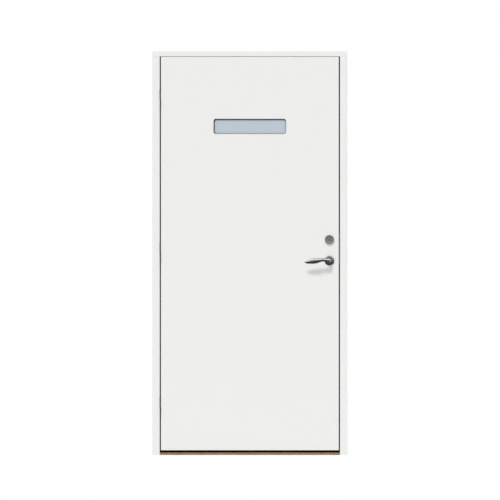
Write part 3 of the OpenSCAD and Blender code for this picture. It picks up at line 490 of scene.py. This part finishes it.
ring_low, ring_high = millimetres("cylinder_ring")
ring_size = ring_high - ring_low
ring_radius, ring_height = ring_size[0] / 2, ring_size[1]
lock_z = (ring_high + ring_low)[2] / 2
collar_top = [[radius, ring_height - drop] for radius, drop in COLLAR_TOP]
collar = cover(ring_radius, round_edge(ring_radius, ring_height, COLLAR_EDGE), collar_top)
points = turned(collar, axis_x, front_y, lock_z, -1)
grid_piece("cylinder_collar", points, "leaf", "satin_chrome", "cylinder_ring", ring=True)

# %% [markdown]
# ## The lip round the window
#
# A grey rubber lip holds the glass. The glass rests low and to the right in its opening, so the lip leaves a
# deep slit along the top and the left side. Black rubber lines the slit's ground. Its black is partly the
# seal's own colour and partly painted shade, so the slit draws the dark edge of the slot along the top and
# left, where the shade falls. A dark line on the glass would do from the front, but a real slit looks right
# from all sides. Lip and channel are closed sections carried round a rectangle with round corners.

# %% Carry a section round the opening
GASKET_BITE = 12.0  # mm of the gasket that the leaf hides
CORNER = 13.0  # radius of the opening's corners
CORNER_POINTS = 16

gasket_low, gasket_high = millimetres("outer_glazing_gasket")
window_x, window_z = (gasket_low + gasket_high)[[0, 2]] / 2
half_width, half_height = (gasket_high - gasket_low)[[0, 2]] / 2 - GASKET_BITE
print("Window opening, mm:", round(2 * half_width, 1), "by", round(2 * half_height, 1))


def rounded_path(left, right, bottom, top, radius):
    """Points round a rectangle, against the clock from the upper right: each corner's centre plus the
    radius times a cosine along X and a sine along Z."""
    turns = np.linspace(0, np.pi / 2, CORNER_POINTS)[None, :] + np.arange(4)[:, None] * np.pi / 2
    x = np.array([right - radius, left + radius, left + radius, right - radius])
    z = np.array([top - radius, top - radius, bottom + radius, bottom + radius])
    around = radius * np.stack([np.cos(turns), np.sin(turns)], axis=-1)
    return (np.stack([x, z], axis=-1)[:, None, :] + around).reshape(-1, 2)


def window_ring(section):
    """A closed section carried round the opening. Each of its corners has a rectangle of its own: an
    inset from the bottom and right, an inset from the top and left, and a depth."""
    loops = []
    for near, far, depth in section:
        sides = (far - half_width, half_width - near, near - half_height, half_height - far)
        path = rounded_path(*sides, CORNER - near)
        loops.append(np.insert(path, 1, depth, axis=1) + np.array([window_x, 0, window_z]))
    return np.stack(loops)


# %% [markdown]
# The sections are short lists of corners. The black channel lines the opening and covers the ground of the
# slit, where its black is painted shade as well as the seal's colour. The lip stands close to the opening's
# edge at the bottom and the right, well inside it at the top and the left, and slopes down to the glass.

# %% Channel and lip
GLASS_GAP = 0.1  # mm from the pane
front, back = gasket_low[1], gasket_high[1] - GLASS_GAP
# Black channel: at the ground of the top and left slit its black is partly painted shade
channel = [
    (0.1, 0.1, front),
    (0.3, 0.3, front),
    (0.3, 0.3, back - 0.6),
    (0.9, 5, back - 0.6),
    (0.9, 5, back),
    (0.1, 0.1, back),
]
lip = [
    (0.3, 4.4, front + 1),
    (0.6, 4.7, front),
    (1.8, 5.1, front),
    (2.8, 5.6, back - 0.5),
    (0.3, 4.4, back - 0.5),
]
for name, slot, section in (("window_channel", "seal_rubber", channel), ("window_lip", "gasket_rubber", lip)):
    grid_piece(name, window_ring(section), "leaf", slot, "outer_glazing_gasket", ring=True)

# %% [markdown]
# ## The room
#
# The photo is a cut-out on white, so camera rays that miss the door see plain white.
# Mirrors see a studio instead: bright overhead, dim at eye level and dark below, which
# gives the lever its bright top and dark underside. Real panels could be hung there,
# but a ramp over a ray's height does the same and leaves the soft light even. Only
# mirror rays that haven't bounced off a matt surface see that room. All others see the
# soft light.

# %% World
ROOM_TONES = ((0.46, 0.06), (0.52, 0.19), (0.64, 0.24), (0.73, 1.0), (0.90, 1.0))  # height, grey
SOFT_LIGHT = 0.67
WHITE = (1, 1, 1, 1)

world = bpy.data.worlds.new("Studio")
bpy.context.scene.world = world
world.use_nodes = True
tree = world.node_tree
tree.nodes.clear()
rays = add(tree, "LightPath")
ray = add(tree, "TexCoord")
height = add(tree, "SeparateXYZ", {"Vector": ray.outputs["Generated"]})
lifted = add(tree, "MapRange", {"Value": height.outputs["Z"]}, from_min=-1.0, from_max=1.0)
room = add(tree, "ValToRGB", {"Fac": lifted.outputs["Result"]})
stops = room.color_ramp.elements
stops[0].position, stops[0].color = 0.40, (0.03, 0.03, 0.03, 1)
stops[1].position, stops[1].color = 1.0, (0.6, 0.6, 0.6, 1)
for position, grey in ROOM_TONES:
    stops.new(position).color = (grey, grey, grey, 1)
seen = add(tree, "Background", strength=1.0, color=WHITE).outputs[0]
fill = add(tree, "Background", strength=SOFT_LIGHT, color=WHITE).outputs[0]
mirror = add(tree, "Background", {"Color": room.outputs["Color"]}, strength=1.0).outputs[0]
direct = add(tree, "Math", {0: rays.outputs["Is Glossy Ray"], 1: rays.outputs["Diffuse Depth"]})
direct.operation = "SUBTRACT"
lit = add(tree, "MixShader", {"Fac": direct.outputs["Value"], 1: fill, 2: mirror}).outputs[0]
shown = add(tree, "MixShader", {"Fac": rays.outputs["Is Camera Ray"], 1: lit, 2: seen}).outputs[0]
add(tree, "OutputWorld", {"Surface": shown})
print("World, stops in the room's ramp:", len(stops))

# %% [markdown]
# ## The floor
#
# A plain pale floor carries the door and its shadow. Mirrors would show it as a bright
# lower half, and the lever would lose its dark underside, so mirror rays see it nearly
# black.

# %% Floor
FLOOR_HALF = 12  # m
DARK_GREY = (0.05, 0.05, 0.05, 1)

corners = [(x * FLOOR_HALF, y * FLOOR_HALF, 0) for x, y in ((-1, -1), (1, -1), (1, 1), (-1, 1))]
floor_mesh = bpy.data.meshes.new("floor")
floor_mesh.from_pydata(corners, [], [(0, 1, 2, 3)])
floor = bpy.data.objects.new("floor", floor_mesh)
bpy.context.scene.collection.objects.link(floor)
# Matt studio floor: pale, with no shine
floor_paint, shader = new_material("Pale_floor", "#E2E2E2", 0.9)
tree = floor_paint.node_tree
rays = add(tree, "LightPath")
dark = add(tree, "Emission", color=DARK_GREY, strength=1.0)
parts = {"Fac": rays.outputs["Is Glossy Ray"], 1: shader.outputs[0], 2: dark.outputs[0]}
look = add(tree, "MixShader", parts)
tree.links.new(look.outputs[0], tree.nodes["Material Output"].inputs["Surface"])
floor_mesh.materials.append(floor_paint)
print("Floor, m:", 2 * FLOOR_HALF)

# %% [markdown]
# ## The lamp
#
# A soft sun from the upper left gives about a third of the light on the door and
# throws the lever's pale shadow. Area lamps would do too, but a sun lights the whole
# height of the door evenly. Mirrors don't see it.

# %% Lamp
lamp = bpy.data.lights.new("key", "SUN")
lamp.energy = 1.44
lamp.angle = np.radians(11)
key = bpy.data.objects.new("key", lamp)
key.rotation_euler = (np.radians(43), 0, np.radians(-11))
key.visible_glossy = False
bpy.context.scene.collection.objects.link(key)
print("Lamp strength:", round(lamp.energy, 2))

# %% [markdown]
# ## What rays skip
#
# The photo's chrome doesn't mirror the white leaf behind it, so the leaf's faces are
# hidden from mirror rays. The photo has a thrown shadow under the lever and no soft
# darkening round it, so the front fittings are hidden from the leaf's soft light.

# %% Ray settings
for skin in ("outer_skin", "inner_skin"):
    nodes[skin].visible_glossy = False
for fitting in ("outer_lever_grip", "outer_rose", "cylinder_collar"):
    bpy.data.objects[fitting].visible_diffuse = False
print("Lamp, two leaf faces and three fittings skip some rays")

# %% [markdown]
# ## Camera
#
# The door's edges run parallel in the photo, so the camera is orthographic. A long
# lens from far away would come close, but the scale of this one is exact: one pixel is
# 5.149 mm of door. It stands a little to the side, so that the gaps fall on the same
# columns as in the photo.

# %% Camera and view
PICTURE_WIDTH = 500  # pixels
PIXEL = 0.005149  # m of door
SIDE_STEP = 0.0008  # m
DISTANCE = 10.0  # m
EYE_HEIGHT = 1.0555  # m

lens = bpy.data.cameras.new("camera")
lens.type = "ORTHO"
lens.ortho_scale = PICTURE_WIDTH * PIXEL
camera = bpy.data.objects.new("camera", lens)
bpy.context.scene.collection.objects.link(camera)
camera.location = (SIDE_STEP, -DISTANCE, EYE_HEIGHT)
camera.rotation_euler = (np.pi / 2, 0, 0)
bpy.context.scene.camera = camera
bpy.context.scene.view_settings.view_transform = "Standard"
print("Width of the view, m:", round(lens.ortho_scale, 4))
